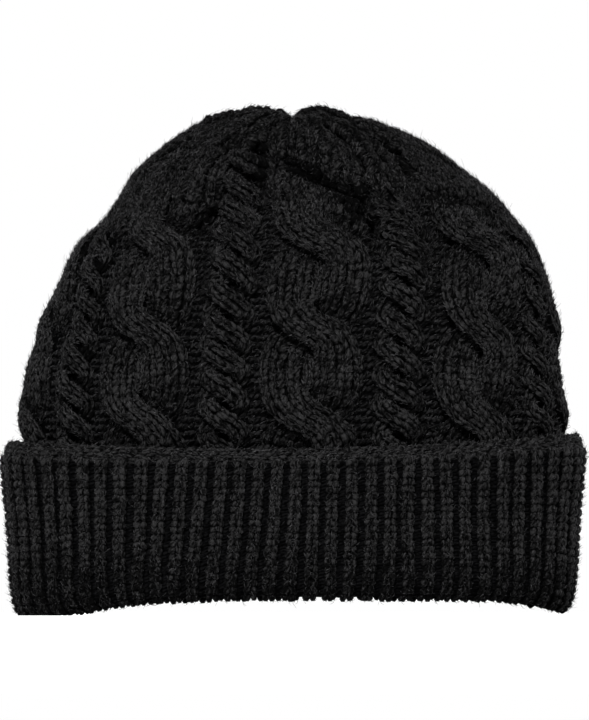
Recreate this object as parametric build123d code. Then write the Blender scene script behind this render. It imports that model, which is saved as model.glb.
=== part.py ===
from build123d import *
import os
from math import cos, pi, radians, sin, sqrt

# Knit beanie, standing on its turned-up cuff with the crown on top.
# Frame: millimetres, +Z up, +X across the wide face, the front faces -Y,
# origin at the centre of the bounding box's bottom.
# The hat is one knitted fabric. Its zones, the layers of the brim and the
# cables are separate solids, and the cuff is a body of its own.

# ---- driving dimensions -------------------------------------------------
overall_width = 232.8         # across the top of the cuff, along X
overall_depth = 120.0         # across the top of the cuff, along Y
dome_height = 205.6           # from the folded edge to the top of the cables' dome,
                              # which is cut short around the gather

cuff_height = 66.0            # folded edge to the loose top edge
cuff_taper = 3.2              # the cuff is this much wider each side at its top
fold_height = 3.2             # thickness of the fold under both layers of the brim
fold_gap = 0.4                # between the fold and the inner layer above it
arch_rise = 5.0               # the folded edge arches up by this much at front and back
arch_half_width = 98.0        # the arch ends this far out, where the hat stands
edge_height = 4.5             # plain welt along the loose top edge of the cuff
edge_proud = 0.8              # how far the welt stands out from the cuff
edge_rounding = 1.8           # radius along the welt's top
cuff_wall = 4.2               # outer layer of the brim
cuff_gap = 0.4                # between the two layers at the fold; it widens upwards

brim_wall = 4.0               # inner layer of the brim
brim_top = 62.0               # where the rib ends and the cabled body starts
body_inset = 1.6              # the body's ground lies this far inside the brim
body_wall = 3.5               # ground fabric of the body
crown_start = 118.0           # above this the stitches are decreased towards the gather
relief = 3.5                  # how far the cables stand out from the ground
spring_height = 73.0          # the side is straight up to here, then a dome
crown_pile = 8.0              # extra depth of gathered fabric at the crown
dome_flat_angle = 6.0         # the dome stops this many degrees short of its centre

repeats = 8                   # wide cable + rope cable repeats around the hat
wide_cable_width = 38.0
rope_cable_width = 17.5
first_cable_shift = 7.0       # centre of the front wide cable, along +X
front_spread = 4.0            # repeats are wider on the flat faces by this much
cable_end_radius = 17.0       # cables stop at this radius around the gather

gather_radius = 10.0          # dished centre of the crown
gather_depth = 4.0
gather_yarn_radius = 7.0
gather_yarn_thickness = 2.6
knot_radius = 4.0
knot_height = 3.5
knot_rounding = 1.5
knot_gap = 0.05               # between the knot and the fabric above it
seam_width = 5.0
seam_thickness = 2.0
seam_top = 170.0
overlap = 1.0                 # extra length on shapes that are cut away

# ---- sizes that follow --------------------------------------------------
edge_outer = (overall_width / 2, overall_depth / 2)
cuff_outer_top = tuple(r - edge_proud for r in edge_outer)
cuff_outer_bottom = tuple(r - cuff_taper for r in cuff_outer_top)
cuff_inner_top = tuple(r - cuff_wall for r in cuff_outer_top)
cuff_inner_bottom = tuple(r - cuff_wall for r in cuff_outer_bottom)
brim_outer = tuple(r - cuff_gap for r in cuff_inner_bottom)
brim_inner = tuple(r - brim_wall for r in brim_outer)
body_outer = tuple(r - body_inset for r in brim_outer)
relief_outer = tuple(r + relief for r in body_outer)
body_inner = tuple(r - body_wall for r in body_outer)
dome_rise = dome_height - spring_height - relief
inner_rise = dome_rise - crown_pile
arch_radius = (arch_half_width ** 2 + arch_rise ** 2) / (2 * arch_rise)


def ellipse_tube(outer, inner, bottom, top):
    """A straight oval ring between two heights."""
    ring = Ellipse(*outer) - Ellipse(*inner)
    return Pos(0, 0, bottom) * extrude(ring, top - bottom)


def space_below(height):
    """Everything lower than the arched folded edge, raised by a height."""
    slab = Box(2 * overall_width, 2 * overall_depth, cuff_height)
    slab = Pos(0, 0, height - cuff_height / 2) * slab
    barrel = Rot(90, 0, 0) * Cylinder(arch_radius, 2 * overall_depth)
    return slab + Pos(0, 0, height + arch_rise - arch_radius) * barrel


def tapered_oval(lower, upper, bottom, top):
    """A solid oval that widens evenly from its bottom to its top."""
    low_face = Pos(0, 0, bottom) * Ellipse(*lower)
    high_face = Pos(0, 0, top) * Ellipse(*upper)
    return loft([low_face, high_face])


def dome(radii, rise, bottom):
    """A solid oval dome: straight sides, then a quarter ellipse up to a small flat."""
    half_width, half_depth = radii
    arc = EllipticalCenterArc(
        (0, spring_height), half_width, rise, start_angle=0, arc_size=90 - dome_flat_angle
    )
    start = arc @ 0
    end = arc @ 1
    side = Line((start.X, bottom), (start.X, start.Y))
    top = Line((end.X, end.Y), (0, end.Y))
    middle = Line((0, end.Y), (0, bottom))
    base = Line((0, bottom), (start.X, bottom))
    profile = Plane.XZ * make_face([base, side, arc, top, middle])
    return scale(revolve(profile, Axis.Z, 360), by=(1, half_depth / half_width, 1))


def oval_point(angle, radii, reach=1.0):
    """A point on an oval, with the angle counted from the front towards +X."""
    return (radii[0] * sin(angle) * reach, -radii[1] * cos(angle) * reach)


def arc_table(radii, steps=3600):
    """Distance along an oval from the front centre, one entry for each small step."""
    total = 0.0
    table = [0.0]
    for i in range(steps):
        angle = 2 * pi * (i + 0.5) / steps
        speed = sqrt((radii[0] * cos(angle)) ** 2 + (radii[1] * sin(angle)) ** 2)
        total += speed * 2 * pi / steps
        table.append(total)
    return table


pattern_arcs = arc_table(body_outer)
girth = pattern_arcs[-1]


def angle_at(distance):
    """The oval angle that lies this far around from the front centre."""
    rest = distance % girth
    turns = (distance - rest) / girth
    steps = len(pattern_arcs) - 1
    low = 0
    high = steps
    while high - low > 1:
        middle = (low + high) // 2
        if pattern_arcs[middle] <= rest:
            low = middle
        else:
            high = middle
    part = (rest - pattern_arcs[low]) / (pattern_arcs[high] - pattern_arcs[low])
    return 2 * pi * (turns + (low + part) / steps)


def repeat_centre(position):
    """Distance around the hat of a place in the pattern, counted in repeats."""
    fraction = position / repeats
    return first_cable_shift + girth * fraction + front_spread * sin(4 * pi * fraction)


def sector(start, end, bottom, top):
    """A wedge about the hat's centre line, between two distances around it."""
    sides = 4
    well_outside = 1.5
    points = [(0, 0)]
    for i in range(sides + 1):
        angle = angle_at(start + (end - start) * i / sides)
        points.append(oval_point(angle, body_outer, well_outside))
    return Pos(0, 0, bottom) * extrude(make_face(Polyline(*points, close=True)), top - bottom)


# ---- body of the hat ----------------------------------------------------
def make_ground():
    """The ground fabric of the body and the crown, open at the bottom."""
    outside = dome(body_outer, dome_rise, brim_top)
    inside = dome(body_inner, inner_rise, brim_top - overlap)
    dish_bottom = spring_height + dome_rise - gather_depth
    dish = Cylinder(gather_radius, 2 * gather_depth)
    return outside - inside - Pos(0, 0, dish_bottom + gather_depth) * dish


def make_knit_body():
    """The ground fabric from the brim up to where the crown's shaping starts."""
    return split(make_ground(), Plane.XY.offset(crown_start), keep=Keep.BOTTOM)


def make_knit_crown():
    """The ground fabric of the shaped and gathered crown."""
    return split(make_ground(), Plane.XY.offset(crown_start), keep=Keep.TOP)


def make_brim_inner_layer():
    """The inner layer of the ribbed brim, next to the head."""
    tube = ellipse_tube(brim_outer, brim_inner, 0, brim_top)
    return tube - space_below(fold_height + fold_gap)


def make_cable(position, width):
    """One raised cable zone, from the cuff's edge up to the gather."""
    outside = dome(relief_outer, dome_rise + relief, brim_top)
    ground = dome(body_outer, dome_rise, brim_top - overlap)
    centre = repeat_centre(position)
    band = sector(centre - width / 2, centre + width / 2, brim_top, dome_height + overlap)
    middle = Pos(0, 0, dome_height) * Cylinder(cable_end_radius, 2 * crown_pile)
    return (outside & band) - ground - middle


def make_gather_yarn():
    """The yarn drawn through the last row, lying as a ring in the dished crown."""
    height = spring_height + dome_rise - gather_depth + gather_yarn_thickness / 2
    return Pos(0, 0, height) * Torus(gather_yarn_radius, gather_yarn_thickness / 2)


def make_gather_knot():
    """The fastened-off end of the drawn yarn, under the crown on the inside."""
    ceiling = spring_height + inner_rise * cos(radians(dome_flat_angle))
    button = Cylinder(knot_radius, knot_height)
    button = fillet(button.edges().group_by(Axis.Z)[0], knot_rounding)
    return Pos(0, 0, ceiling - knot_gap - knot_height / 2) * button


def make_back_seam():
    """The joined edges of the fabric, a low ridge inside the back."""
    centre = repeat_centre(repeats / 2) - wide_cable_width / 2 - seam_width / 2
    seam_outer = body_inner
    seam_inner = tuple(r - seam_thickness for r in body_inner)
    outside = dome(seam_outer, inner_rise, brim_top)
    inside = dome(seam_inner, inner_rise - seam_thickness, brim_top - overlap)
    strip = sector(centre - seam_width / 2, centre + seam_width / 2, brim_top, seam_top)
    return (outside & strip) - inside


# ---- the turned-up cuff -------------------------------------------------
def make_cuff_outer_layer():
    """The ribbed layer turned up outside the brim, wider towards its top."""
    top = cuff_height - edge_height
    outside = tapered_oval(cuff_outer_bottom, cuff_outer_top, 0, top)
    inside = tapered_oval(cuff_inner_bottom, cuff_inner_top, 0, top)
    return outside - inside - space_below(fold_height)


def make_cuff_fold():
    """The fold where the cuff turns up, an arched ring under both layers."""
    ring = ellipse_tube(cuff_outer_bottom, brim_inner, 0, fold_height + arch_rise)
    return ring & space_below(fold_height) - space_below(0)


def make_cuff_edge():
    """The plain welt along the loose top edge of the cuff."""
    ring = ellipse_tube(edge_outer, cuff_inner_top, cuff_height - edge_height, cuff_height)
    return fillet(ring.edges().group_by(Axis.Z)[-1], edge_rounding)


def save(solid, name):
    """Write one node."""
    export_step(solid, "parts/" + name + ".step")


os.makedirs("parts", exist_ok=True)
save(make_knit_body(), "knit_body")
save(make_knit_crown(), "knit_crown")
save(make_brim_inner_layer(), "brim_inner_layer")
for number in range(repeats):
    save(make_cable(number, wide_cable_width), f"wide_cable_{number + 1}")
    save(make_cable(number + 0.5, rope_cable_width), f"rope_cable_{number + 1}")
save(make_gather_yarn(), "gather_yarn")
save(make_gather_knot(), "gather_knot")
save(make_back_seam(), "back_seam")
save(make_cuff_outer_layer(), "cuff_outer_layer")
save(make_cuff_fold(), "cuff_fold")
save(make_cuff_edge(), "cuff_edge")
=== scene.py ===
import math

import bpy
import numpy as np
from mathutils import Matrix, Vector


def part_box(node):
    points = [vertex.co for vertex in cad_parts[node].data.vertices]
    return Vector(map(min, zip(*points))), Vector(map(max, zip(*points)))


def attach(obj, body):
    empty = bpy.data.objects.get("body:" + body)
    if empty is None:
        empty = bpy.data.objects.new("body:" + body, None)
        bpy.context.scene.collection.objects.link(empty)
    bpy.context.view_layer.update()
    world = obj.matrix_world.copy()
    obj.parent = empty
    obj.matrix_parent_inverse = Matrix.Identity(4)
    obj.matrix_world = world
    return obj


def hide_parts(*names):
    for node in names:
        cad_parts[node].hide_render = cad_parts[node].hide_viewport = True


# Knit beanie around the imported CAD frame. Metres, +Z up, the front faces -Y.
# The fabric is built stitch by stitch. A "lane" counts stitch columns around
# the hat and a "climb" is the distance up the fabric from its lower end.

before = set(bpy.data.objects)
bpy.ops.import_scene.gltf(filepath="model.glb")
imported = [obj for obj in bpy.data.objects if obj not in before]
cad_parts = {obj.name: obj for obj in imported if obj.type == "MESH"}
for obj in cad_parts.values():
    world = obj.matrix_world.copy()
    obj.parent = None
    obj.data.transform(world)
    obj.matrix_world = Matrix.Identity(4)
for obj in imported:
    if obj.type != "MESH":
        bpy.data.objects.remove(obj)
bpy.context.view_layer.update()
rng = np.random.default_rng(11)
MM = 0.001

# ---- sizes read from the frame ------------------------------------------
ground_low, ground_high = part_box("knit_body")
brim_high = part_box("brim_inner_layer")[1]
edge_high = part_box("cuff_edge")[1]
cuff_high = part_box("cuff_outer_layer")[1]
fold_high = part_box("cuff_fold")[1]
yarn_low, yarn_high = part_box("gather_yarn")
knot_low, knot_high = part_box("gather_knot")

body_half_width = ground_high.x
body_half_depth = ground_high.y
flatness = body_half_width - body_half_depth      # the same for every layer of the hat
body_bottom = ground_low.z
cuff_top = edge_high.z

# ---- sizes of the knitting ----------------------------------------------
spring_height = 73 * MM          # straight side below, dome above
dome_rise = 129.1 * MM
ground_wall = 3.5 * MM
crown_wall = 6 * MM              # the gathered crown is thicker

repeats = 8
wide_lanes = 8                   # stitches across a wide cable, in two strands
rope_lanes = 4                   # stitches across a rope cable, in two strands
purl_lanes = 1                   # purl stitches each side of every cable
repeat_lanes = wide_lanes + rope_lanes + 2 * purl_lanes
total_lanes = repeats * repeat_lanes
front_shift = 7 * MM             # the front wide cable's centre, along +X
front_spread = 4 * MM            # stitches are wider on the flat faces

wide_cross = 35.5 * MM           # climb from one crossing to the next
rows_per_cross = 12
row_height = wide_cross / rows_per_cross
rope_cross = 4 * row_height
first_wide_cross = 16 * MM
strip_top = 120 * MM             # climb at which the purl strips end

ply_twist = 450                  # radians a metre that the plies turn about the yarn
fibre_stretch = 0.25             # the fibre pattern is drawn out along the yarn

ribs = 70
rib_tighten = 1.9 * MM           # ribs are closer together on the flat faces
rib_relief = 3.0 * MM            # how far a rib stands out from the valleys beside it
rib_row = 3.0 * MM               # height of one row of stitches on a rib

hair_count = 14000               # loose fibres grown for each piece of fuzz


# ---- small helpers ------------------------------------------------------
def unit(v):
    """Vectors of length 1."""
    return v / np.maximum(np.linalg.norm(v, axis=-1, keepdims=True), 1e-12)


def smooth(x, low, high):
    """0 up to low and 1 from high, with a soft step between them."""
    t = np.clip((x - low) / (high - low), 0, 1)
    return t * t * (3 - 2 * t)


def bell(x, middle, width):
    """1 in the middle, fading to both sides."""
    return np.exp(-(((x - middle) / width) ** 2))


def arc_lengths(half_width, half_depth):
    """Angles around an oval from its front centre and the distances to them."""
    angles = np.linspace(-2 * np.pi, 4 * np.pi, 6001)
    middles = (angles[1:] + angles[:-1]) / 2
    speed = np.hypot(half_width * np.cos(middles), half_depth * np.sin(middles))
    lengths = np.concatenate([[0], np.cumsum(speed * np.diff(angles))])
    lengths -= np.interp(0, angles, lengths)
    return angles, lengths


def make_angle_finder(half_width, lanes, shift, spread):
    """A function from lane to oval angle, with the lanes spread on the flat faces."""
    angles, lengths = arc_lengths(half_width, half_width - flatness)
    girth = np.interp(2 * np.pi, angles, lengths)
    quarter = girth / 4

    def angle_of(lane, keep=0.0):
        """keep widens the middle of both faces by that share and narrows the two ends."""
        share = np.asarray(lane, float) / lanes
        distance = shift + girth * share + spread * np.sin(4 * np.pi * share)
        face = np.round(distance / (2 * quarter)) * 2 * quarter
        off = (distance - face) / quarter
        off = off * (1 + keep - keep * np.abs(off) ** 3)
        return np.interp(face + off * quarter, lengths, angles)

    return angle_of


body_angle = make_angle_finder(body_half_width, total_lanes, front_shift, front_spread)
rib_angle = make_angle_finder(cuff_high.x, ribs, 0, -rib_tighten)


# ---- mesh building ------------------------------------------------------
def mesh_object(name, points, loops, sizes, material, yarn=None, painted_shading=None):
    """A mesh object from points, one list of corner numbers and each face's corner count.

    yarn gives every point its place on a straightened yarn, for the fibre pattern. The
    painted shading is painted light and shade: 1 on the outermost side of a stitch, where
    light falls, 0 deep between stitches, where shade falls, and below 0 where painted shade
    darkens a stitch that lies hidden."""
    mesh = bpy.data.meshes.new(name)
    mesh.vertices.add(len(points))
    mesh.vertices.foreach_set("co", np.asarray(points, np.float32).ravel())
    mesh.loops.add(len(loops))
    mesh.loops.foreach_set("vertex_index", np.asarray(loops, np.int32))
    starts = np.concatenate([[0], np.cumsum(sizes)[:-1]])
    mesh.polygons.add(len(sizes))
    mesh.polygons.foreach_set("loop_start", starts.astype(np.int32))
    mesh.update(calc_edges=True)
    layer = mesh.attributes.new("yarn", "FLOAT_VECTOR", "POINT")
    along_yarn = points if yarn is None else yarn
    layer.data.foreach_set("vector", np.asarray(along_yarn, np.float32).ravel())
    layer = mesh.attributes.new("painted_shading", "FLOAT", "POINT")
    lightness = np.zeros(len(points)) if painted_shading is None else painted_shading
    layer.data.foreach_set("value", np.asarray(lightness, np.float32))
    mesh.shade_smooth()
    mesh.materials.append(material)
    made = bpy.data.objects.new(name, mesh)
    bpy.context.scene.collection.objects.link(made)
    return made


def tube_faces(count, rings, sides):
    """Corner numbers and sizes for capped tubes whose points are (count, rings, sides)."""
    number = np.arange(count * rings * sides).reshape(count, rings, sides)
    turned = np.roll(number, -1, axis=2)
    quads = np.stack([number[:, :-1], number[:, 1:], turned[:, 1:], turned[:, :-1]], axis=-1)
    starts = number[:, 0]
    ends = number[:, -1, ::-1]
    loops = np.concatenate([quads.ravel(), starts.ravel(), ends.ravel()])
    sizes = np.concatenate([np.full(quads.size // 4, 4), np.full(2 * count, sides)])
    return loops, sizes


def ring_faces(rows, columns):
    """Corner numbers and sizes for a closed loop of rows swept round a closed loop of columns."""
    number = np.arange(rows * columns).reshape(rows, columns)
    right = np.roll(number, -1, axis=1)
    above = np.roll(number, -1, axis=0)
    corner = np.roll(right, -1, axis=0)
    quads = np.stack([number, right, corner, above], axis=-1)
    return quads.ravel(), np.full(quads.size // 4, 4)


# Where the loose fibres grow from: each entry is a point, its outward way and the yarn's way.
hat_roots = []
cuff_roots = []


def note_roots(rings, roots, exposed=1.0):
    """Keeps the outer points of the exposed stitches, for loose fibres to grow from."""
    least = 0.45                     # a stitch hidden deeper than this grows none
    rings = rings[np.broadcast_to(exposed, len(rings)) > least]
    middle = rings.mean(axis=2, keepdims=True)
    outward = unit(rings - middle)
    along = unit(np.gradient(middle, axis=1)) * np.ones_like(rings)
    kept = [part[:, 1:-1, 1:3] for part in (rings, outward, along)]
    roots.append(np.stack(kept, axis=-2).reshape(-1, 3, 3))


class Pile:
    """Collects closed shapes that become one mesh object."""

    def __init__(self):
        self.points = []
        self.yarn = []
        self.painted_shading = []
        self.loops = []
        self.sizes = []
        self.total = 0

    def add(self, points, faces, yarn=None, painted_shading=None):
        """Adds a shape. Points that would lie under the floor are moved up to it."""
        loops, sizes = faces
        points = np.array(points, float).reshape(-1, 3)
        points[:, 2] = np.maximum(points[:, 2], 0)
        self.points.append(points)
        self.painted_shading.append(np.zeros(len(points)) if painted_shading is None else painted_shading.ravel())
        self.yarn.append(points if yarn is None else yarn.reshape(-1, 3))
        self.loops.append(loops + self.total)
        self.sizes.append(sizes)
        self.total += len(points)

    def add_tubes(self, rings, exposed=1.0):
        """Adds capped tubes. rings is (count, rings, sides, 3).

        exposed is 1 for tubes on the open cloth and 0 for tubes deep in it. Painted shade
        darkens a tube as exposed falls."""
        middle = rings.mean(axis=2)
        steps = np.linalg.norm(np.diff(middle, axis=1), axis=-1)
        along = np.concatenate([np.zeros((len(rings), 1)), np.cumsum(steps, axis=1)], axis=1)
        radius = np.linalg.norm(rings - middle[:, :, None], axis=-1)
        way_round = 2 * np.pi * np.arange(rings.shape[2]) / rings.shape[2]
        turn = way_round + ply_twist * along[..., None]
        yarn = np.stack([
            np.broadcast_to(fibre_stretch * along[..., None], radius.shape),
            radius * np.cos(turn), radius * np.sin(turn),
        ], axis=-1)
        yarn = yarn + rng.uniform(-0.5, 0.5, (len(rings), 1, 1, 3))
        # painted light and shade: each tube is lighter on its outer side and in its middle, darker
        # at its ends, and darker still where it lies hidden
        outer = 0.5 + 0.5 * np.sin(way_round)
        ends = 0.35 + 0.65 * np.sin(np.pi * np.linspace(0.08, 0.92, rings.shape[1]))
        exposed = np.broadcast_to(exposed, len(rings))[:, None, None]
        painted_shading = outer * ends[:, None] * exposed - 0.5 * (1 - exposed)
        self.add(rings, tube_faces(*rings.shape[:3]), yarn, painted_shading)

    def build(self, name, material):
        """Makes the one mesh object."""
        joined = [np.concatenate(part) for part in (self.points, self.loops, self.sizes)]
        return mesh_object(
            name, *joined, material, np.concatenate(self.yarn), np.concatenate(self.painted_shading)
        )


def tube_rings(centre, out, wide, tall, sides):
    """Rings of points around centrelines. centre and out are (count, rings, 3)."""
    along = unit(np.gradient(centre, axis=1))
    across = unit(np.cross(along, out))
    up = unit(np.cross(across, along))
    turn = 2 * np.pi * np.arange(sides) / sides
    offset = across[:, :, None] * (wide[:, :, None] * np.cos(turn))[..., None]
    offset = offset + up[:, :, None] * (tall[:, :, None] * np.sin(turn))[..., None]
    return centre[:, :, None] + offset


def place_frame(place, lane, climb):
    """The point, outward normal and width of a lane, from a placing function."""
    step_lane = 0.02
    step_climb = 0.1 * MM
    point = place(lane, climb)
    to_right = place(lane + step_lane, climb) - point
    upward = place(lane, climb + step_climb) - point
    normal = unit(np.cross(to_right, upward))
    width = np.linalg.norm(to_right, axis=-1) / step_lane
    return point, normal, width


# ---- the body's surface -------------------------------------------------
# The body's outline as tables: from each climb to the width's share and the height.
profile_angle = np.linspace(0, np.radians(86), 800)
profile_shrink = np.cos(profile_angle)
profile_height = spring_height + dome_rise * np.sin(profile_angle)
middle_width = 80 * MM            # a width between the hat's two, for spacing the rows
profile_steps = np.hypot(np.diff(profile_shrink) * middle_width, np.diff(profile_height))
profile_climb = np.concatenate([[0], np.cumsum(profile_steps)]) + spring_height - body_bottom
body_climb = profile_climb[-1]


def gentle_dents(angle, height):
    """Small soft unevenness of the cloth."""
    wave = 0.9 * np.sin(3 * angle + 60 * height + 0.7)
    wave = wave + 0.7 * np.sin(5 * angle - 85 * height + 2.1)
    wave = wave + 0.5 * np.sin(2 * angle + 130 * height + 4.0)
    return wave * MM


def crown_pleats(lane, shrink):
    """The push that sinks the purl strips between the cables as the crown is gathered."""
    place = np.mod(lane, repeat_lanes)
    strip = wide_lanes / 2 + purl_lanes / 2
    to_strip = np.minimum(np.abs(place - strip), np.abs(place - (repeat_lanes - strip)))
    valley = bell(to_strip, 0, 1.1)
    depth = 4.6 * MM * smooth(1 - shrink, 0.3, 0.7) * smooth(shrink, 0.02, 0.25)
    return -valley * depth


def crease(x, z, start, end, width):
    """1 along a straight crease between two places on the front, fading to the sides."""
    ax, az = start[0] * MM, start[1] * MM
    bx, bz = end[0] * MM - ax, end[1] * MM - az
    share = np.clip(((x - ax) * bx + (z - az) * bz) / (bx ** 2 + bz ** 2), 0, 1)
    away = np.hypot(x - ax - share * bx, z - az - share * bz)
    return bell(away, 0, width * MM)


# Folds of the crown's front: push out in mm, width, and the two ends as (x, z) in mm.
folds = [
    (-12.0, 4.0, (-3, 180), (14, 171)),      # the deep fold under the flap
    (-9.0, 3.0, (16, 170), (24, 160)),
    (3.6, 7.0, (-4, 192), (11, 184)),        # the flap itself
    (2.0, 3.0, (12, 182), (17, 177)),
    (-6.5, 2.4, (-11, 194), (-17, 172)),     # grooves left of the flap
    (-7.0, 2.6, (-31, 167), (-41, 154)),
    (2.5, 6.0, (-34, 174), (-55, 162)),
    (-8.0, 2.8, (26, 170), (29, 152)),       # grooves and fold right of the flap
    (-6.0, 2.2, (22, 196), (38, 187)),
    (-6.0, 2.2, (38, 187), (45, 175)),
    (-7.0, 2.4, (53, 167), (80, 161)),
]


def crown_folds(x, y, z):
    """The flap of cloth that hangs over at the front of the gather, and the creases round it."""
    front = smooth(-y, 1 * MM, 8 * MM)
    push = sum(depth * crease(x, z, start, end, width) for depth, width, start, end in folds)
    return push * MM * front


def fold_exposed(rings):
    """1 for stitches on open cloth and less down in the crown's creases, where painted shade
    darkens them.
    """
    x, y, z = np.moveaxis(rings.mean(axis=(1, 2)), -1, 0)
    lean = 2 * MM                    # about how far the body leans where the creases are
    return 1 - 0.6 * smooth(-crown_folds(x - lean, y, z), 1 * MM, 6.5 * MM)


# Small bulges and hollows of the body's two ends: push out, height and spread in mm.
right_bulges = [(3.2, 132, 16), (5.0, 169, 12), (4.6, 188, 9)]
left_bulges = [(1.2, 115, 9), (-2.4, 138, 11), (1.0, 80, 10), (-2.4, 176, 10), (-2.0, 200, 6)]


def bulge_out(bulges, height):
    """How far one end of the body stands out at a height."""
    return sum(push * MM * bell(height, at * MM, spread * MM) for push, at, spread in bulges)


def top_dip(x, shrink):
    """How far the top sinks: at the gather, along a notch through it, and at its shoulders."""
    near_top = smooth(0.4 - shrink, 0, 0.2)
    gather = 6.5 * MM * bell(shrink, 0, 0.072)
    notch = 3.0 * MM * bell(x, -0.8 * MM, 3.6 * MM)
    shoulders = 1.3 * MM * bell(np.abs(x), 21 * MM, 7 * MM)
    return gather + (notch + shoulders) * near_top


def body_point(lane, climb):
    """A point on the ground fabric of the hat's body: an oval dome that leans, dips and dents.

    shrink is the width there over the full width."""
    shrink = np.interp(climb, profile_climb, profile_shrink)
    keep = np.clip(1 / shrink - 1, 0, 0.25) * smooth(shrink, 0.15, 0.5)
    angle = body_angle(lane, keep)
    straight = np.minimum(climb, profile_climb[0])
    height = np.interp(climb, profile_climb, profile_height)
    height = np.where(climb < profile_climb[0], body_bottom + straight, height)
    rounding = 1 + 0.9 * (1 - shrink) ** 6
    x = body_half_width * shrink * np.sin(angle)
    y = -body_half_depth * shrink * rounding * np.cos(angle)
    above = np.maximum(height - spring_height, 0)
    normal = unit(np.stack([
        x / body_half_width ** 2, y / body_half_depth ** 2, above / dome_rise ** 2
    ], axis=-1))
    lean = 5.0 * MM * bell(height, 148 * MM, 28 * MM)
    dip = top_dip(x, shrink)
    slimmer = 1 - 0.03 * bell(height, 158 * MM, 18 * MM)
    x = x * slimmer
    y = y * slimmer
    x = x + smooth(np.sin(angle), 0.3, 0.9) * bulge_out(right_bulges, height)
    x = x + smooth(-np.sin(angle), 0.3, 0.9) * bulge_out(left_bulges, height)
    height = height + 1.2 * MM * smooth(height, spring_height, 200 * MM)
    push = gentle_dents(angle, height) * smooth(climb, 5 * MM, 40 * MM)
    push = push + crown_pleats(lane, shrink) + crown_folds(x, y, height)
    tuck = 1.6 * MM * (1 - smooth(climb, 2 * MM, 14 * MM))     # drawn in at the brim
    push = push - tuck
    point = np.stack([x + lean, y, height - dip], axis=-1)
    return point + normal * push[..., None]


def lifted(place, lane, climb, lift):
    """A point a little way out from a surface."""
    point, normal, _ = place_frame(place, lane, climb)
    return point + normal * lift[..., None]


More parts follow.
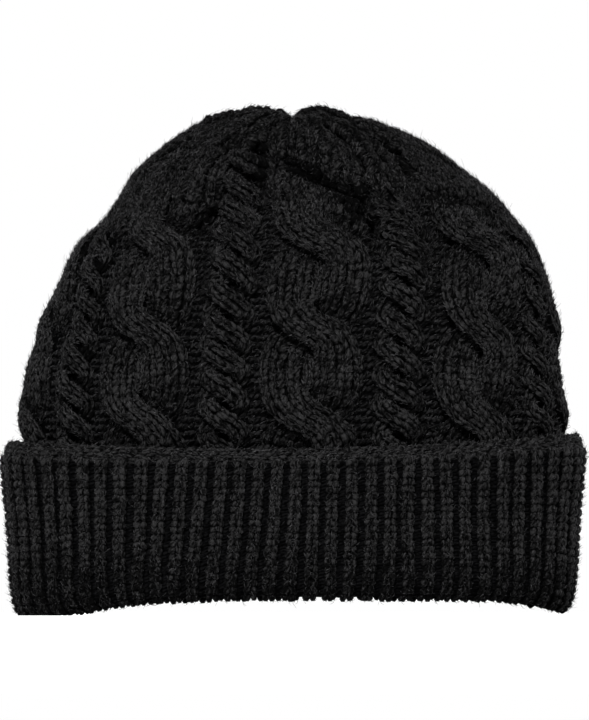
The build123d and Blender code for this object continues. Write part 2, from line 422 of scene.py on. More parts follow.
# ---- cables -------------------------------------------------------------
class Strand:
    """One of the two strands that twist about each other in a cable.

    Its places are counted in stitches across it and in travel along it. Its middle line
    sways from side to side and passes over and under, and the stitches follow that line."""

    def __init__(self, centre, lanes, cross, last_cross, side, shape):
        self.centre = centre
        self.half = lanes / 4            # from the cable's middle to this strand's, in lanes
        self.lanes = lanes // 2
        self.stop = first_wide_cross + cross * (last_cross - 0.5)
        self.bulge = shape["bulge"]
        # how much painted shade darkens the strand where it passes behind the other
        self.shade = shape["shade"]
        climb = np.linspace(-1 * MM, body_climb, 1500)
        turn = np.pi * ((np.minimum(climb, self.stop) - first_wide_cross) / cross + 0.5)
        sway = side * np.tanh(shape["snap"] * np.cos(turn)) / np.tanh(shape["snap"])
        spread = sway ** 2
        over = side * np.sin(turn) * (1 - 0.7 * np.cos(turn) ** 2)
        lift = shape["base"] + shape["swing"] * np.where(over > 0, over, 0.7 * over)
        lift = lift * smooth(climb, -2 * MM, 10 * MM)
        lane = centre + self.half * shape["reach"] * sway
        point, normal, width = place_frame(body_point, lane, climb)
        line = point + normal * lift[:, None]
        along = unit(np.gradient(line, axis=0))
        across = unit(np.cross(along, normal))
        half_lanes = shape["slim"] + (shape["open"] - shape["slim"]) * spread
        half_width = half_lanes * width
        drops = []
        for way in (-1, 1):
            far = body_point(lane + way * half_lanes, climb)
            drops.append(np.sum((far - point) * normal, axis=1) / half_width ** 2)
        steps = np.linalg.norm(np.diff(line, axis=0), axis=1)
        self.travel = np.concatenate([[0], np.cumsum(steps)])
        self.tables = {
            "climb": climb, "sway": sway, "over": over, "line": line, "across": across,
            "up": unit(np.cross(across, along)), "half_width": half_width,
            "left_drop": drops[0], "right_drop": drops[1],
        }
        self.end_side = sway[-1]

    def read(self, name, travel):
        """The value of one of the strand's tables at a travel along it."""
        table = self.tables[name]
        if table.ndim == 1:
            return np.interp(travel, self.travel, table)
        return np.stack([np.interp(travel, self.travel, column) for column in table.T], axis=-1)

    def place(self, lane, travel):
        """lane runs from 0 to the strand's stitch count, over its rounded top."""
        wrap = np.radians(72)            # how far the top is rounded to each side
        share = 2 * lane / self.lanes - 1
        lean = share * wrap
        out = np.sin(lean)
        climb = self.read("climb", travel)
        sway = self.read("sway", travel)
        spread = sway ** 2
        from_middle = np.clip((1 + out * sway) / 2, 0, 1)
        pillow = 0.85 * np.sqrt(1 - 0.97 * from_middle ** 4)
        pillow = pillow + 0.25 * bell(from_middle, 0.74, 0.17)
        rise = self.bulge * ((1 - spread) * np.cos(lean) + spread * pillow)
        rise = rise * smooth(climb, -2 * MM, 10 * MM)
        offset = self.read("half_width", travel) * out
        drop = np.where(out < 0, self.read("left_drop", travel), self.read("right_drop", travel))
        plait = self.read("line", travel) + self.read("across", travel) * offset[..., None]
        plait = plait + self.read("up", travel) * (rise + drop * offset ** 2)[..., None]
        room = repeat_lanes / (repeat_lanes - 2 * purl_lanes)
        flat_lane = self.centre + self.half * room * (self.end_side + share)
        flat = lifted(body_point, flat_lane, climb, (0.3 + 0.9 * np.cos(lean)) * MM)
        plain = smooth(climb, self.stop - 3 * MM, self.stop + 9 * MM)[..., None]
        return plait * (1 - plain) + flat * plain

    def exposed(self, travel):
        """1 where the strand lies open and less where it passes behind the other, where painted
        shade darkens it.
        """
        return 1 - self.shade * smooth(-self.read("over", travel), -0.2, 0.8)

    def core_rings(self, rows):
        """The strand's body under its stitches, as one set of rings."""
        travel = np.linspace(0, self.travel[-1] - 1 * MM, rows)
        over_top = np.linspace(0, self.lanes, 9)
        lane, travel = np.meshgrid(over_top, travel)
        point, normal, _ = place_frame(self.place, lane, travel)
        under_stitches = 0.5 * MM
        into_ground = 4.5 * MM
        shell = point - normal * under_stitches
        bottom = (shell[:, :1] + shell[:, -1:]) / 2 - normal[:, 4:5] * into_ground
        return np.concatenate([shell, bottom], axis=1)[None]

    def zones(self):
        """Stitch columns, rows and column width, with fewer columns towards the gather.

        Each pass is a zone with one column fewer than the last."""
        done = 0
        for columns in range(self.lanes, 0, -1):
            wanted = (columns - 0.5) / self.lanes
            until = body_climb if columns == 1 else profile_climb[
                np.argmin(np.abs(np.minimum(profile_shrink * 1.25, 1) - wanted))
            ]
            last = int(np.interp(until, self.tables["climb"], self.travel) / row_height)
            rows = np.arange(done, last)
            done = max(done, last)
            if len(rows):
                yield (np.arange(columns) + 0.5) * self.lanes / columns, rows, self.lanes / columns


def knit_legs(place, lanes, rows, row, size, rings, sides,
              spread=0.30, lift=0.8, start=0.0, pitch=1.0, pointing=-1, loose=1.0, bead=1.0):
    """The two slanting legs of every knit stitch on a surface, as rings of points.

    pitch is a column's width in lanes. size is a leg's radius and spread how far the legs
    open, both in columns. pointing is -1 where the stitches point down. loose is how
    uneven they are, and a bead over 1 pinches their ends."""
    lane, step = np.meshgrid(lanes, rows)
    lane = np.repeat(lane.ravel(), 2)[:, None]
    step = np.repeat(step.ravel(), 2)[:, None]
    count = len(lane)
    side = np.tile([-1.0, 1.0], count // 2)[:, None]
    along = np.linspace(0, 1, rings)[None]
    arch = np.sin(np.pi * (0.08 + 0.84 * along))
    drift = rng.normal(0, 0.035, (count, 1)) * loose
    slip = rng.normal(0, 0.07, (count, 1)) * loose
    plump = 1 + rng.normal(0, 0.11, (count, 1)) * loose
    opening = along if pointing < 0 else 1 - along
    offset = side * (0.42 + 0.58 * opening ** 0.8) * spread + drift
    climb = start + row * (step - 0.08 + 1.2 * along + slip)
    point, normal, width = place_frame(place, lane + offset * pitch, climb)
    width = width * pitch
    radius = size * np.clip(width, 0.5 * np.median(width), 1.4 * np.median(width)) * plump
    centre = point + normal * (radius * (lift * arch - 0.3))[..., None]
    taper = (0.34 + 0.66 * arch) ** bead
    return tube_rings(centre, normal, radius * taper, radius * taper * 0.82, sides)


def purl_bumps(place, lanes, rows, row, size, rings, sides,
               start=0.0, pitch=1.0, slant=0.0, brick=0.0):
    """The low curved bar of every purl stitch on a surface, as rings of points.

    size is a bar's radius in columns. slant tilts the bars, in rows, and brick shifts
    every second row, in columns."""
    lane, step = np.meshgrid(lanes, rows)
    lane = lane.ravel()[:, None]
    step = step.ravel()[:, None]
    count = len(lane)
    along = np.linspace(-1, 1, rings)[None]
    arch = np.cos(np.pi / 2 * along * 0.95)
    slip = rng.normal(0, 0.07, (count, 1))
    climb = start + row * (step + 0.5 + slip - 0.22 * along ** 2 + slant * along)
    shift = 0.54 * along + brick * np.mod(step, 2)
    point, normal, width = place_frame(place, lane + shift * pitch, climb)
    width = width * pitch
    radius = size * np.clip(width, 0.5 * np.median(width), 1.4 * np.median(width))
    radius = radius * (1 + rng.normal(0, 0.1, (count, 1)))
    centre = point + normal * (radius * (0.9 * arch - 0.35))[..., None]
    taper = 0.5 + 0.5 * arch
    return tube_rings(centre, normal, radius * taper, radius * taper, sides)


# ---- materials ----------------------------------------------------------
def wool(name, dark, light, sheen=0.008, bump=0.8):
    """Charcoal wool: twisted fibres in mottled near-blacks, with a faint hairy sheen.

    tone runs from the dark to the light colour. It adds fibres that follow the yarn, specks,
    mottling, and painted light and shade: lighter on the outer side of each stitch, darker
    deep between stitches, and a little darker up the crown, which faces the key light more."""
    made = bpy.data.materials.new(name)
    made.use_nodes = True
    nodes = made.node_tree.nodes
    links = made.node_tree.links
    shader = nodes["Principled BSDF"]
    shader.inputs["Sheen Weight"].default_value = sheen
    shader.inputs["Sheen Roughness"].default_value = 0.5
    shader.inputs["Sheen Tint"].default_value = (0.62, 0.63, 0.66, 1)
    shader.inputs["Specular IOR Level"].default_value = 0.02

    def noise(source, scale, detail, roughness):
        made_noise = nodes.new("ShaderNodeTexNoise")
        made_noise.inputs["Scale"].default_value = scale
        made_noise.inputs["Detail"].default_value = detail
        made_noise.inputs["Roughness"].default_value = roughness
        links.new(source, made_noise.inputs["Vector"])
        return made_noise.outputs["Fac"]

    def math_node(operation, first, second, third=None):
        made_math = nodes.new("ShaderNodeMath")
        made_math.operation = operation
        for place, value in enumerate((first, second, third)):
            if isinstance(value, float):
                made_math.inputs[place].default_value = value
            elif value is not None:
                links.new(value, made_math.inputs[place])
        return made_math.outputs["Value"]

    yarn = nodes.new("ShaderNodeAttribute")
    yarn.attribute_name = "yarn"
    painted_shading = nodes.new("ShaderNodeAttribute")
    painted_shading.attribute_name = "painted_shading"
    coords = nodes.new("ShaderNodeTexCoord")
    fibres = noise(yarn.outputs["Vector"], scale=1500, detail=2, roughness=0.5)
    specks = noise(coords.outputs["Object"], scale=1000, detail=2, roughness=0.5)
    mottle = noise(coords.outputs["Object"], scale=190, detail=3, roughness=0.6)

    tone = math_node("MULTIPLY_ADD", fibres, 0.62, math_node("MULTIPLY", specks, 0.38))
    tone = math_node("MULTIPLY_ADD", mottle, 0.2, math_node("SUBTRACT", tone, 0.17))
    # painted light and shade: stitches lighter on their outer side, darker deep between them and
    # where hidden
    tone = math_node("MULTIPLY_ADD", painted_shading.outputs["Fac"], 0.13, tone)
    # painted shade: the wool is darkened a little up the crown, which faces the key light more
    height = nodes.new("ShaderNodeSeparateXYZ")
    links.new(coords.outputs["Object"], height.inputs["Vector"])
    crown = nodes.new("ShaderNodeMapRange")
    crown.inputs["From Min"].default_value = 0.13
    crown.inputs["From Max"].default_value = 0.2
    crown.inputs["To Max"].default_value = 0.042
    links.new(height.outputs["Z"], crown.inputs["Value"])
    tone = math_node("SUBTRACT", tone, crown.outputs["Result"])
    ramp = nodes.new("ShaderNodeValToRGB")
    ramp.color_ramp.elements[0].position = 0.455
    ramp.color_ramp.elements[0].color = (*dark, 1)
    ramp.color_ramp.elements[1].position = 0.61
    ramp.color_ramp.elements[1].color = (*light, 1)
    middle = ramp.color_ramp.elements.new(0.52)
    middle.color = (*(0.75 * a + 0.25 * b for a, b in zip(dark, light)), 1)
    links.new(tone, ramp.inputs["Fac"])
    links.new(ramp.outputs["Color"], shader.inputs["Base Color"])

    rough = nodes.new("ShaderNodeMapRange")
    rough.inputs["To Min"].default_value = 0.7
    rough.inputs["To Max"].default_value = 0.95
    links.new(mottle, rough.inputs["Value"])
    links.new(rough.outputs["Result"], shader.inputs["Roughness"])

    relief = nodes.new("ShaderNodeBump")
    relief.inputs["Strength"].default_value = bump
    relief.inputs["Distance"].default_value = 0.5 * MM
    links.new(fibres, relief.inputs["Height"])
    links.new(relief.outputs["Normal"], shader.inputs["Normal"])
    return made


near_black = (0.0004, 0.0004, 0.0004)
charcoal = (0.0165, 0.0163, 0.0166)
body_wool = wool("body_wool", near_black, charcoal)
rib_wool = wool("rib_wool", near_black, charcoal)
# a darker copy of the wool, as painted shade on the recessed purl strips
gutter_painted_shade_wool = wool("gutter_painted_shade_wool", near_black, (0.0092, 0.0091, 0.0094))
# a near-black copy of the wool, as painted shade for the shells and valleys that lie deep between
# stitches
deep_painted_shade_wool = wool("deep_painted_shade_wool", (0.0003, 0.0003, 0.0004), (0.0032, 0.0032, 0.0034), sheen=0.0)
hair_wool = wool("hair_wool", (0.004, 0.0039, 0.0041), (0.085, 0.084, 0.087), bump=0.1)


# ---- pieces of the body -------------------------------------------------
def finish_piece(made, body, slot, *nodes):
    """Gives a finished piece its body and hides the CAD nodes that it stands for. slot is not
    used.
    """
    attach(made, body)
    if nodes:
        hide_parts(*nodes)
    return made


def make_ground():
    """The ground fabric: a closed two-sided shell, with purl bumps on its strips."""
    points_per_lane = 4
    columns = total_lanes * points_per_lane
    rows = 110
    lane = np.arange(columns) / points_per_lane
    climb = np.linspace(-2 * MM, body_climb, rows)
    grid_lane, grid_climb = np.meshgrid(lane, climb)
    outer, normal, _ = place_frame(body_point, grid_lane, grid_climb)
    shrink = np.interp(grid_climb, profile_climb, profile_shrink)
    wall = ground_wall + (crown_wall - ground_wall) * smooth(1 - shrink, 0.5, 0.9)
    inner = outer - normal * wall[..., None]
    pile = Pile()
    pile.add(np.concatenate([outer, inner[::-1]]), ring_faces(2 * rows, columns))
    # the shell under the stitches is painted near black, as painted shade
    finish_piece(pile.build("ground_knit", deep_painted_shade_wool), "hat", "ground_knit",
                 "knit_body", "knit_crown")
    # Bumps half a lane wide over each strip, and a little way under the cables beside it.
    strip = wide_lanes / 2 - 0.75 + np.arange(6) / 2
    strips = np.concatenate([strip, repeat_lanes - strip])
    lanes = (strips + repeat_lanes * np.arange(repeats)[:, None]).ravel()
    rows = np.arange(int(strip_top / row_height))
    pile = Pile()
    bumps = purl_bumps(body_point, lanes, rows, row_height, size=0.40, rings=5, sides=5,
                       pitch=0.5, slant=0.3)
    exposed = fold_exposed(bumps)
    note_roots(bumps, hat_roots, exposed)
    pile.add_tubes(bumps, exposed)
    finish_piece(pile.build("purl_stitches", gutter_painted_shade_wool), "hat", "ground_knit")


def make_cable(number, kind):
    """One cable: two strands, each with its yarn body and its knit stitches.

    The cables at the hat's two ends are flatter, and only the front ropes run up high."""
    if kind == "wide":
        middle, lanes, cross, last_cross = number, wide_lanes, wide_cross, 3
        shape = {"reach": 1.0, "slim": 1.4, "open": 2.2, "snap": 1.9,
                 "base": 0.6 * MM, "swing": 4.6 * MM, "bulge": 4.0 * MM, "shade": 0.36}
    else:
        middle, lanes, cross = number + 0.5, rope_lanes, rope_cross
        last_cross = {0: 8, repeats - 1: 10}.get(number, 7)
        shape = {"reach": 1.3, "slim": 0.78, "open": 0.78, "snap": 0.3,
                 "base": 0.2 * MM, "swing": 3.9 * MM, "bulge": 3.3 * MM, "shade": 0.75}
    flatter = 1 - 0.5 * np.sin(body_angle(middle * repeat_lanes)) ** 4
    shape["swing"] *= flatter
    shape["bulge"] *= flatter
    pile = Pile()
    for side in (1, -1):
        strand = Strand(middle * repeat_lanes, lanes, cross, last_cross, side, shape)
        # the strand's core lies under its stitches and gets painted shade
        pile.add_tubes(strand.core_rings(260), exposed=0.3)
        for columns, rows, pitch in strand.zones():
            legs = knit_legs(strand.place, columns, rows, row_height,
                             size=0.26, rings=6, sides=6, pitch=pitch)
            exposed = strand.exposed(np.repeat(rows, 2 * len(columns)) * row_height)
            exposed = exposed * fold_exposed(legs)
            note_roots(legs, hat_roots, exposed)
            pile.add_tubes(legs, exposed)
    name = f"{kind}_cable_{number + 1}"
    made = pile.build(f"{kind}_cable_knit_{number + 1}", body_wool)
    return finish_piece(made, "hat", "cable_knit", name)


# ---- pieces of the brim and cuff ----------------------------------------
def rounded(points, times):
    """A closed outline with its corners cut away several times."""
    for _ in range(times):
        after = np.roll(points, -1, axis=0)
        points = np.stack([0.75 * points + 0.25 * after, 0.25 * points + 0.75 * after], axis=1)
        points = points.reshape(-1, 2)
    return points


def arch(x):
    """How far the folded edge arches up at a distance out from the middle."""
    rise = 8 * MM
    left = rise * np.clip(1 - np.abs(x / (98 * MM)) ** 3, 0, None)
    right = rise * np.clip(1 - np.abs(x / (116 * MM)) ** 7, 0, None)
    return np.where(x < 0, left, right)


def top_line(x):
    """The loose edge's height above its place in the frame: it is not quite level."""
    share = x / cuff_high.x
    return (-0.8 + 1.6 * share + 5.4 * share ** 2) * MM


def rib_shape(lane):
    """1 along the middle of a rib and 0 along the valley between two."""
    return smooth(np.cos(2 * np.pi * lane), -0.95, 0.1)


# Sideways wander of each rib, in ribs, at the bottom, the middle and the top of a layer.
rib_wander = rng.normal(0, 0.055, (3, ribs))


def rib_drift(lane, share):
    """How far each rib wanders sideways, in ribs, so that some valleys open and others close."""
    level = np.clip(share, 0, 0.999) * (len(rib_wander) - 1)
    row = level.astype(int)
    part = smooth(level - row, 0, 1)
    column = np.floor(lane).astype(int)
    turn = smooth(lane - column, 0, 1)
    left, right = np.mod(column, ribs), np.mod(column + 1, ribs)
    low = rib_wander[row, left] * (1 - turn) + rib_wander[row, right] * turn
    high = rib_wander[row + 1, left] * (1 - turn) + rib_wander[row + 1, right] * turn
    return low * (1 - part) + high * part


def rib_lean(lane):
    """How many ribs the folded edge lies to the right of the loose edge, round the cuff."""
    place = np.mod(lane / ribs + 0.5, 1) - 0.5
    left = -0.85 * bell(place, -0.07, 0.09)
    right = 0.6 * bell(place, 0.15, 0.08)
    back = 0.4 * np.sin(2 * np.pi * place) * smooth(np.abs(place), 0.25, 0.4)
    return left + right + back


def ring_point(lane, radius, height):
    """A point of a brim layer. radius is the oval's half width there."""
    share = np.clip(height / cuff_top, 0, 1)
    angle = rib_angle(lane + rib_lean(lane) * (0.5 - share) + rib_drift(lane, share))
    x = radius * np.sin(angle)
    y = -(radius - flatness) * np.cos(angle)
    z = height + arch(x) * (1 - share) + top_line(x) * smooth(share, 0.3, 1)
    return np.stack([x, y, z], axis=-1)


class Section:
    """The closed cross-section of a brim layer, as (half width, height) points."""

    def __init__(self, corners):
        outline = rounded(np.array(corners), 4)
        outline = np.concatenate([outline, outline[:1]])
        steps = np.linalg.norm(np.diff(outline, axis=0), axis=1)
        self.travel = np.concatenate([[0], np.cumsum(steps)])
        self.outline = outline
        self.length = self.travel[-1]

    def at(self, travel):
        """The half width and the height at a travel round the section."""
        radius = np.interp(np.mod(travel, self.length), self.travel, self.outline[:, 0])
        height = np.interp(np.mod(travel, self.length), self.travel, self.outline[:, 1])
        return radius, height

    def normal(self, travel):
        """The outward direction there, as its sideways and upward parts."""
        step = 0.4 * MM
        before = np.stack(self.at(travel - step), axis=-1)
        after = np.stack(self.at(travel + step), axis=-1)
        along = unit(after - before)
        return along[..., 1], -along[..., 0]

    def travel_to(self, height, outer=True):
        """The travel at which the outer or inner wall passes a height."""
        peak = self.travel[np.argmax(self.outline[:, 1])]
        test = self.travel <= peak if outer else self.travel >= peak
        gap = np.where(test, np.abs(self.outline[:, 1] - height), 1)
        return self.travel[np.argmin(gap)]


def ribbed_place(section, relief, plain_from, both_faces=False):
    """A placing function for a ribbed layer. Its climb is the travel round the section.

    The ribs fade out above the height plain_from, and on the inner face unless both_faces."""

    def place(lane, climb):
        radius, height = section.at(climb)
        out, up = section.normal(climb)
        fade = 1 - smooth(height, plain_from - 2 * MM, plain_from + 1 * MM)
        if not both_faces:
            fade = fade * smooth(out, -0.4, 0.8)
        push = relief * (rib_shape(lane) - 0.6) * fade
        return ring_point(lane, radius + push * out, height + push * up)

    return place


def make_layer_shell(name, section, place, material, rows):
    """A closed ribbed layer."""
    points_per_rib = 8
    columns = ribs * points_per_rib
    lane, climb = np.meshgrid(
        np.arange(columns) / points_per_rib, section.length * np.arange(rows) / rows
    )
    pile = Pile()
    pile.add(place(lane, climb), ring_faces(rows, columns))
    return pile.build(name, material)


# The cuff's section runs from under the fold, up the outside and down the inside.
cuff_wall = 4.2 * MM
cuff_bottom_radius = fold_high.x
cuff_top_radius = cuff_high.x
cuff_section = Section(
    [
        (brim_high.x - 4 * MM, 3.4 * MM),
        (brim_high.x - 4 * MM, 0.6 * MM),
        (brim_high.x, 0.2 * MM),
        (cuff_bottom_radius - 4.5 * MM, 0.3 * MM),
        (cuff_bottom_radius - 1.2 * MM, 6 * MM),
        ((cuff_bottom_radius + cuff_top_radius) / 2 - 1.5 * MM, 33 * MM),
        (cuff_top_radius - 0.4 * MM, 58 * MM),
        (edge_high.x - 0.8 * MM, 62 * MM),
        (edge_high.x - 2.0 * MM, cuff_top),
        (cuff_top_radius - cuff_wall + 0.8 * MM, cuff_top),
        (cuff_top_radius - cuff_wall, 62 * MM),
        ((cuff_bottom_radius + cuff_top_radius) / 2 - cuff_wall, 33 * MM),
        (cuff_bottom_radius - cuff_wall + 0.5 * MM, 4.4 * MM),
        (brim_high.x - 1 * MM, 3.6 * MM),
    ]
)
cuff_place = ribbed_place(cuff_section, rib_relief, 61 * MM)

# The inner layer reaches down into the fold, to narrow the gap seen when the cuff is down.
brim_wall = 4 * MM
brim_section = Section(
    [
        (brim_high.x - brim_wall, 2.4 * MM),
        (brim_high.x - brim_wall, 1.3 * MM),
        (brim_high.x - 0.3 * MM, 1.3 * MM),
        (brim_high.x - 0.3 * MM, 2.4 * MM),
        (brim_high.x - 0.3 * MM, 58 * MM),
        (brim_high.x - 0.8 * MM, 65 * MM),
        (brim_high.x - brim_wall, 65 * MM),
        (brim_high.x - brim_wall, 58 * MM),
    ]
)
brim_place = ribbed_place(brim_section, 0.9 * MM, 90 * MM, both_faces=True)


def make_cuff():
    """The turned-up cuff: its shell, and the knit stitches along its ribs."""
    # the shell under the ribs' stitches is painted near black, as painted shade
    shell = make_layer_shell("cuff_shell", cuff_section, cuff_place, deep_painted_shade_wool, 110)
    finish_piece(shell, "cuff", "rib_knit", "cuff_outer_layer", "cuff_fold")
    under = cuff_section.travel_to(0.3 * MM)
    high = cuff_section.travel_to(61 * MM)
    rows = int((high - under) / rib_row) + 1
    lanes = np.arange(ribs, dtype=float)
    painted_shade_below = 34 * MM                # painted shade darkens the stitches below this height, towards the floor
    for part, half in enumerate(np.split(lanes, 2)):
        legs = knit_legs(cuff_place, half, np.arange(rows), rib_row,
                         size=0.185, rings=6, sides=6, spread=0.225, lift=1.0,
                         start=under, pointing=1, loose=0.45, bead=1.7)
        note_roots(legs, cuff_roots)
        height = legs[..., 2].mean(axis=(1, 2))
        pile = Pile()
        # painted shade: the cuff's stitches darken towards the floor
        pile.add_tubes(legs, 0.4 + 0.6 * smooth(height, 0, painted_shade_below))
        made = pile.build(f"cuff_rib_stitches_{part + 1}", rib_wool)
        finish_piece(made, "cuff", "rib_knit")
    # the purl stitches in the valleys are painted near black, as painted shade between the ribs
    valleys = Pile()
    valleys.add_tubes(
        purl_bumps(cuff_place, lanes + 0.5, np.arange(2 * rows), rib_row / 2,
                   size=0.085, rings=4, sides=5, start=under, slant=0.4)
    )
    finish_piece(valleys.build("cuff_purl_stitches", deep_painted_shade_wool), "cuff", "rib_knit")


def make_cuff_edge():
    """The plain cast-on edge: low bars side by side over the top of the cuff."""
    pile = Pile()
    start = cuff_section.travel_to(60.6 * MM)
    lanes = np.arange(2 * ribs) / 2
    rows = np.arange(6)
    hairy_rows = 4                   # the last rows lie against the body and grow no fibres
    bars = purl_bumps(cuff_place, lanes, rows, 1.6 * MM, size=0.27, rings=6, sides=6,
                      start=start, pitch=0.5, slant=0.25, brick=0.5)
    note_roots(bars, cuff_roots, np.repeat(rows < hairy_rows, len(lanes)))
    pile.add_tubes(bars)
    made = pile.build("cuff_cast_on_edge", rib_wool)
    finish_piece(made, "cuff", "rib_knit", "cuff_edge")


def make_brim():
    """The inner layer of the brim, ribbed on both faces."""
    # the shell under the brim's stitches is painted near black, as painted shade
    shell = make_layer_shell("brim_shell", brim_section, brim_place, deep_painted_shade_wool, 64)
    finish_piece(shell, "hat", "rib_knit", "brim_inner_layer")
    start = brim_section.travel_to(2.4 * MM)
    end = brim_section.travel_to(64 * MM)
    rows = int((end - start) / rib_row)
    lanes = np.arange(ribs, dtype=float)
    pile = Pile()
    pile.add_tubes(
        knit_legs(brim_place, lanes, np.arange(rows), rib_row,
                  size=0.17, rings=5, sides=5, spread=0.20, lift=0.4, start=start)
    )
    finish_piece(pile.build("brim_rib_stitches", rib_wool), "hat", "rib_knit")


# ---- gather, knot and seam ----------------------------------------------
def make_gather():
    """The drawn yarn that closes the crown: a two-ply ring in the dimple."""
    centre = (yarn_low + yarn_high) / 2
    ring_radius = 5.2 * MM
    yarn_radius = 0.75 * MM
    ply_turns = 14
    sunk = 4.0 * MM                  # it lies this far below its CAD place, in the dimple
    steps = 96
    turn = np.linspace(0, 2 * np.pi, steps)
    pile = Pile()
    for ply in (0, np.pi):
        twist = ply_turns * turn + ply
        radius = ring_radius + 0.6 * yarn_radius * np.cos(twist)
        height = centre.z - sunk + 0.6 * yarn_radius * np.sin(twist)
        line = np.stack([radius * np.cos(turn), radius * np.sin(turn), height], axis=-1)[None]
        out = np.broadcast_to([0.0, 0.0, 1.0], line.shape)
        size = np.full((1, steps), yarn_radius)
        pile.add_tubes(tube_rings(line, out, size, size, 8))
    finish_piece(pile.build("drawn_yarn", body_wool), "hat", "sewing_yarn", "gather_yarn")


def make_knot():
    """The fastened-off end: a small ball of wound yarn under the crown."""
    centre = (knot_low + knot_high) / 2
    ball_radii = np.array([2.9, 2.9, 1.4]) * MM
    yarn_radius = 0.55 * MM
    winds = 11
    steps = 260
    turn = np.linspace(0, 2 * winds * np.pi, steps)
    tilt = turn * 0.137              # each wind lies a little askew of the last
    ball = np.stack([np.cos(turn), np.sin(turn) * np.cos(tilt), np.sin(turn) * np.sin(tilt)], -1)
    line = ball * ball_radii + np.array(centre)
    out = unit(ball)[None]
    size = np.full((1, steps), yarn_radius)
    pile = Pile()
    pile.add_tubes(tube_rings(line[None], out, size, size, 6))
    finish_piece(pile.build("fastened_knot", body_wool), "hat", "sewing_yarn", "gather_knot")


def make_seam():
    """The joined edges inside the back: a line of close whip stitches."""
    strip = wide_lanes / 2 + purl_lanes / 2
    lane_at = repeats / 2 * repeat_lanes - strip
    top = 112 * MM
    count = 52
    slant = 0.9 * MM
    half_length = 0.75               # in lanes
    yarn_radius = 0.85 * MM
    share = np.linspace(-1, 1, 7)[None]
    climb = (np.arange(count)[:, None] + 0.5) * top / count + share * slant
    lane = lane_at + half_length * share + np.zeros((count, 1))
    point, normal, _ = place_frame(body_point, lane, climb)
    arch_share = np.cos(np.pi / 2 * share * 0.9)
    centre = point - normal * (ground_wall + 1.1 * MM * arch_share)[..., None]
    radius = np.broadcast_to(yarn_radius * (0.6 + 0.4 * arch_share), centre.shape[:2])
    pile = Pile()
    pile.add_tubes(tube_rings(centre, -normal, radius, radius, 6))
    finish_piece(pile.build("seam_stitches", body_wool), "hat", "sewing_yarn", "back_seam")


# ---- loose fibres -------------------------------------------------------
def fibre_rings(point, normal, yarn_way, length, lean):
    """Thin curved hairs that leave the yarn at a slant. The first three are (count, 3).

    lean is how far a hair stands off the cloth, as a share of its length."""
    hair_radius = 0.075 * MM
    count = len(point)
    random_way = unit(rng.normal(0, 1, (count, 3))) + 1.1 * yarn_way
    flat_way = unit(random_way - normal * np.sum(random_way * normal, axis=1, keepdims=True))
    curl = unit(rng.normal(0, 1, (count, 3)))
    share = np.linspace(0, 1, 3)[None, :, None]
    length = length[:, None, None]
    lean = lean[:, None, None]
    centre = point[:, None] + flat_way[:, None] * length * share
    centre = centre + normal[:, None] * lean * length * np.sin(2.4 * share)
    centre = centre + curl[:, None] * 0.28 * length * share ** 2
    out = np.broadcast_to(normal[:, None], centre.shape)
    thin = hair_radius * (1 - 0.6 * share[..., 0]) * np.ones((count, 1))
    return tube_rings(centre, out, thin, thin, 3)


def make_fuzz(name, roots, body, slot):
    """A fine halo of loose fibres that grow from the stitches, thickest on the crown."""
    grown = np.concatenate(roots)
    share = 1 + 2 * smooth(grown[:, 0, 2], 125 * MM, 165 * MM)
    chosen = grown[rng.choice(len(grown), hair_count, p=share / share.sum())]
    length = rng.gamma(3.0, 0.33 * MM, hair_count) + 0.7 * MM
    lean = rng.uniform(0.0, 0.4, hair_count)
    rings = fibre_rings(chosen[:, 0], chosen[:, 1], chosen[:, 2], length, lean)
    above_floor = rings[..., 2].min(axis=(1, 2)) > 0
    rings = rings[above_floor]
    pile = Pile()
    pile.add_tubes(rings)
    finish_piece(pile.build(name, hair_wool), body, slot)


# ---- stage, light and camera --------------------------------------------
def make_stage():
    """A plain pale floor."""
    size = 30.0
    points = [(-size, -size, 0), (size, -size, 0), (size, size, 0), (-size, size, 0)]
    material = bpy.data.materials.new("pale_floor")
    material.use_nodes = True
    shader = material.node_tree.nodes["Principled BSDF"]
    shader.inputs["Base Color"].default_value = (0.9, 0.9, 0.9, 1)
    shader.inputs["Roughness"].default_value = 0.9
    shader.inputs["Specular IOR Level"].default_value = 0.1
    floor = mesh_object("floor", points, [0, 1, 2, 3], [4], material)


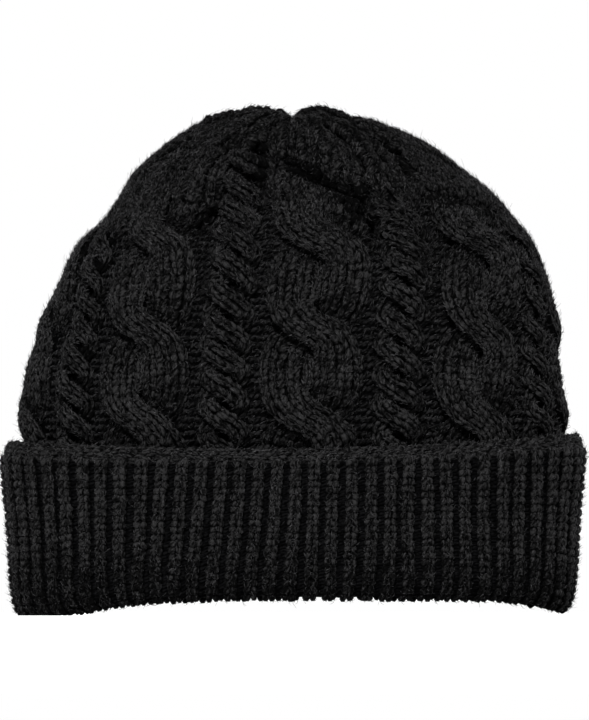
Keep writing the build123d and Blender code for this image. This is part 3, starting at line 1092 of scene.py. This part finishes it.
def make_sun(name, strength, softness, azimuth, elevation):
    """A soft light from far away. Azimuth 0 comes from the front. Angles are in degrees."""
    light = bpy.data.lights.new(name, "SUN")
    light.energy = strength
    light.angle = math.radians(softness)
    holder = bpy.data.objects.new(name, light)
    bpy.context.scene.collection.objects.link(holder)
    a = math.radians(azimuth)
    e = math.radians(elevation)
    towards = Vector((math.sin(a) * math.cos(e), -math.cos(a) * math.cos(e), math.sin(e)))
    holder.rotation_euler = towards.to_track_quat("Z", "Y").to_euler()


def make_lights():
    """A key light from the front, a pale sky, and two weak fills that show the back."""
    world = bpy.data.worlds.new("studio")
    world.use_nodes = True
    nodes = world.node_tree.nodes
    sky = nodes["Background"]
    sky.inputs["Color"].default_value = (1, 1, 1, 1)
    # The sky lights the hat dimly and looks white behind it.
    seen = nodes.new("ShaderNodeLightPath")
    level = nodes.new("ShaderNodeMapRange")
    level.inputs["To Min"].default_value = 0.22
    level.inputs["To Max"].default_value = 1.0
    world.node_tree.links.new(seen.outputs["Is Camera Ray"], level.inputs["Value"])
    world.node_tree.links.new(level.outputs["Result"], sky.inputs["Strength"])
    bpy.context.scene.world = world
    make_sun("key", strength=5.4, softness=4, azimuth=-8, elevation=41)
    make_sun("back_fill_left", strength=2.4, softness=30, azimuth=145, elevation=18)
    make_sun("back_fill_right", strength=1.8, softness=30, azimuth=-145, elevation=18)
    bpy.context.scene.view_settings.view_transform = "Standard"


def make_camera():
    """A long lens just above the floor, aimed at the hat's middle and framing it closely."""
    lens = 400                       # mm
    long_side = 36                   # mm of sensor along the picture's height
    frame_height = 0.2905            # what the picture's height takes in at the hat
    camera_height = 1 * MM
    distance = frame_height * lens / long_side
    data = bpy.data.cameras.new("camera")
    data.lens = lens
    data.sensor_width = long_side
    data.clip_end = 100
    camera = bpy.data.objects.new("camera", data)
    bpy.context.scene.collection.objects.link(camera)
    target = Vector((0.0006, 0, 0.1031))
    camera.location = Vector((target.x, -distance, camera_height))
    camera.rotation_euler = (camera.location - target).to_track_quat("Z", "Y").to_euler()
    bpy.context.scene.camera = camera


make_camera()
make_lights()
make_stage()
make_ground()
for number in range(repeats):
    make_cable(number, "wide")
    make_cable(number, "rope")
make_cuff()
make_cuff_edge()
make_brim()
make_gather()
make_knot()
make_seam()
for part in range(8):
    make_fuzz(f"body_fuzz_{part + 1}", hat_roots, "hat", "cable_knit")
for part in range(2):
    make_fuzz(f"cuff_fuzz_{part + 1}", cuff_roots, "cuff", "rib_knit")
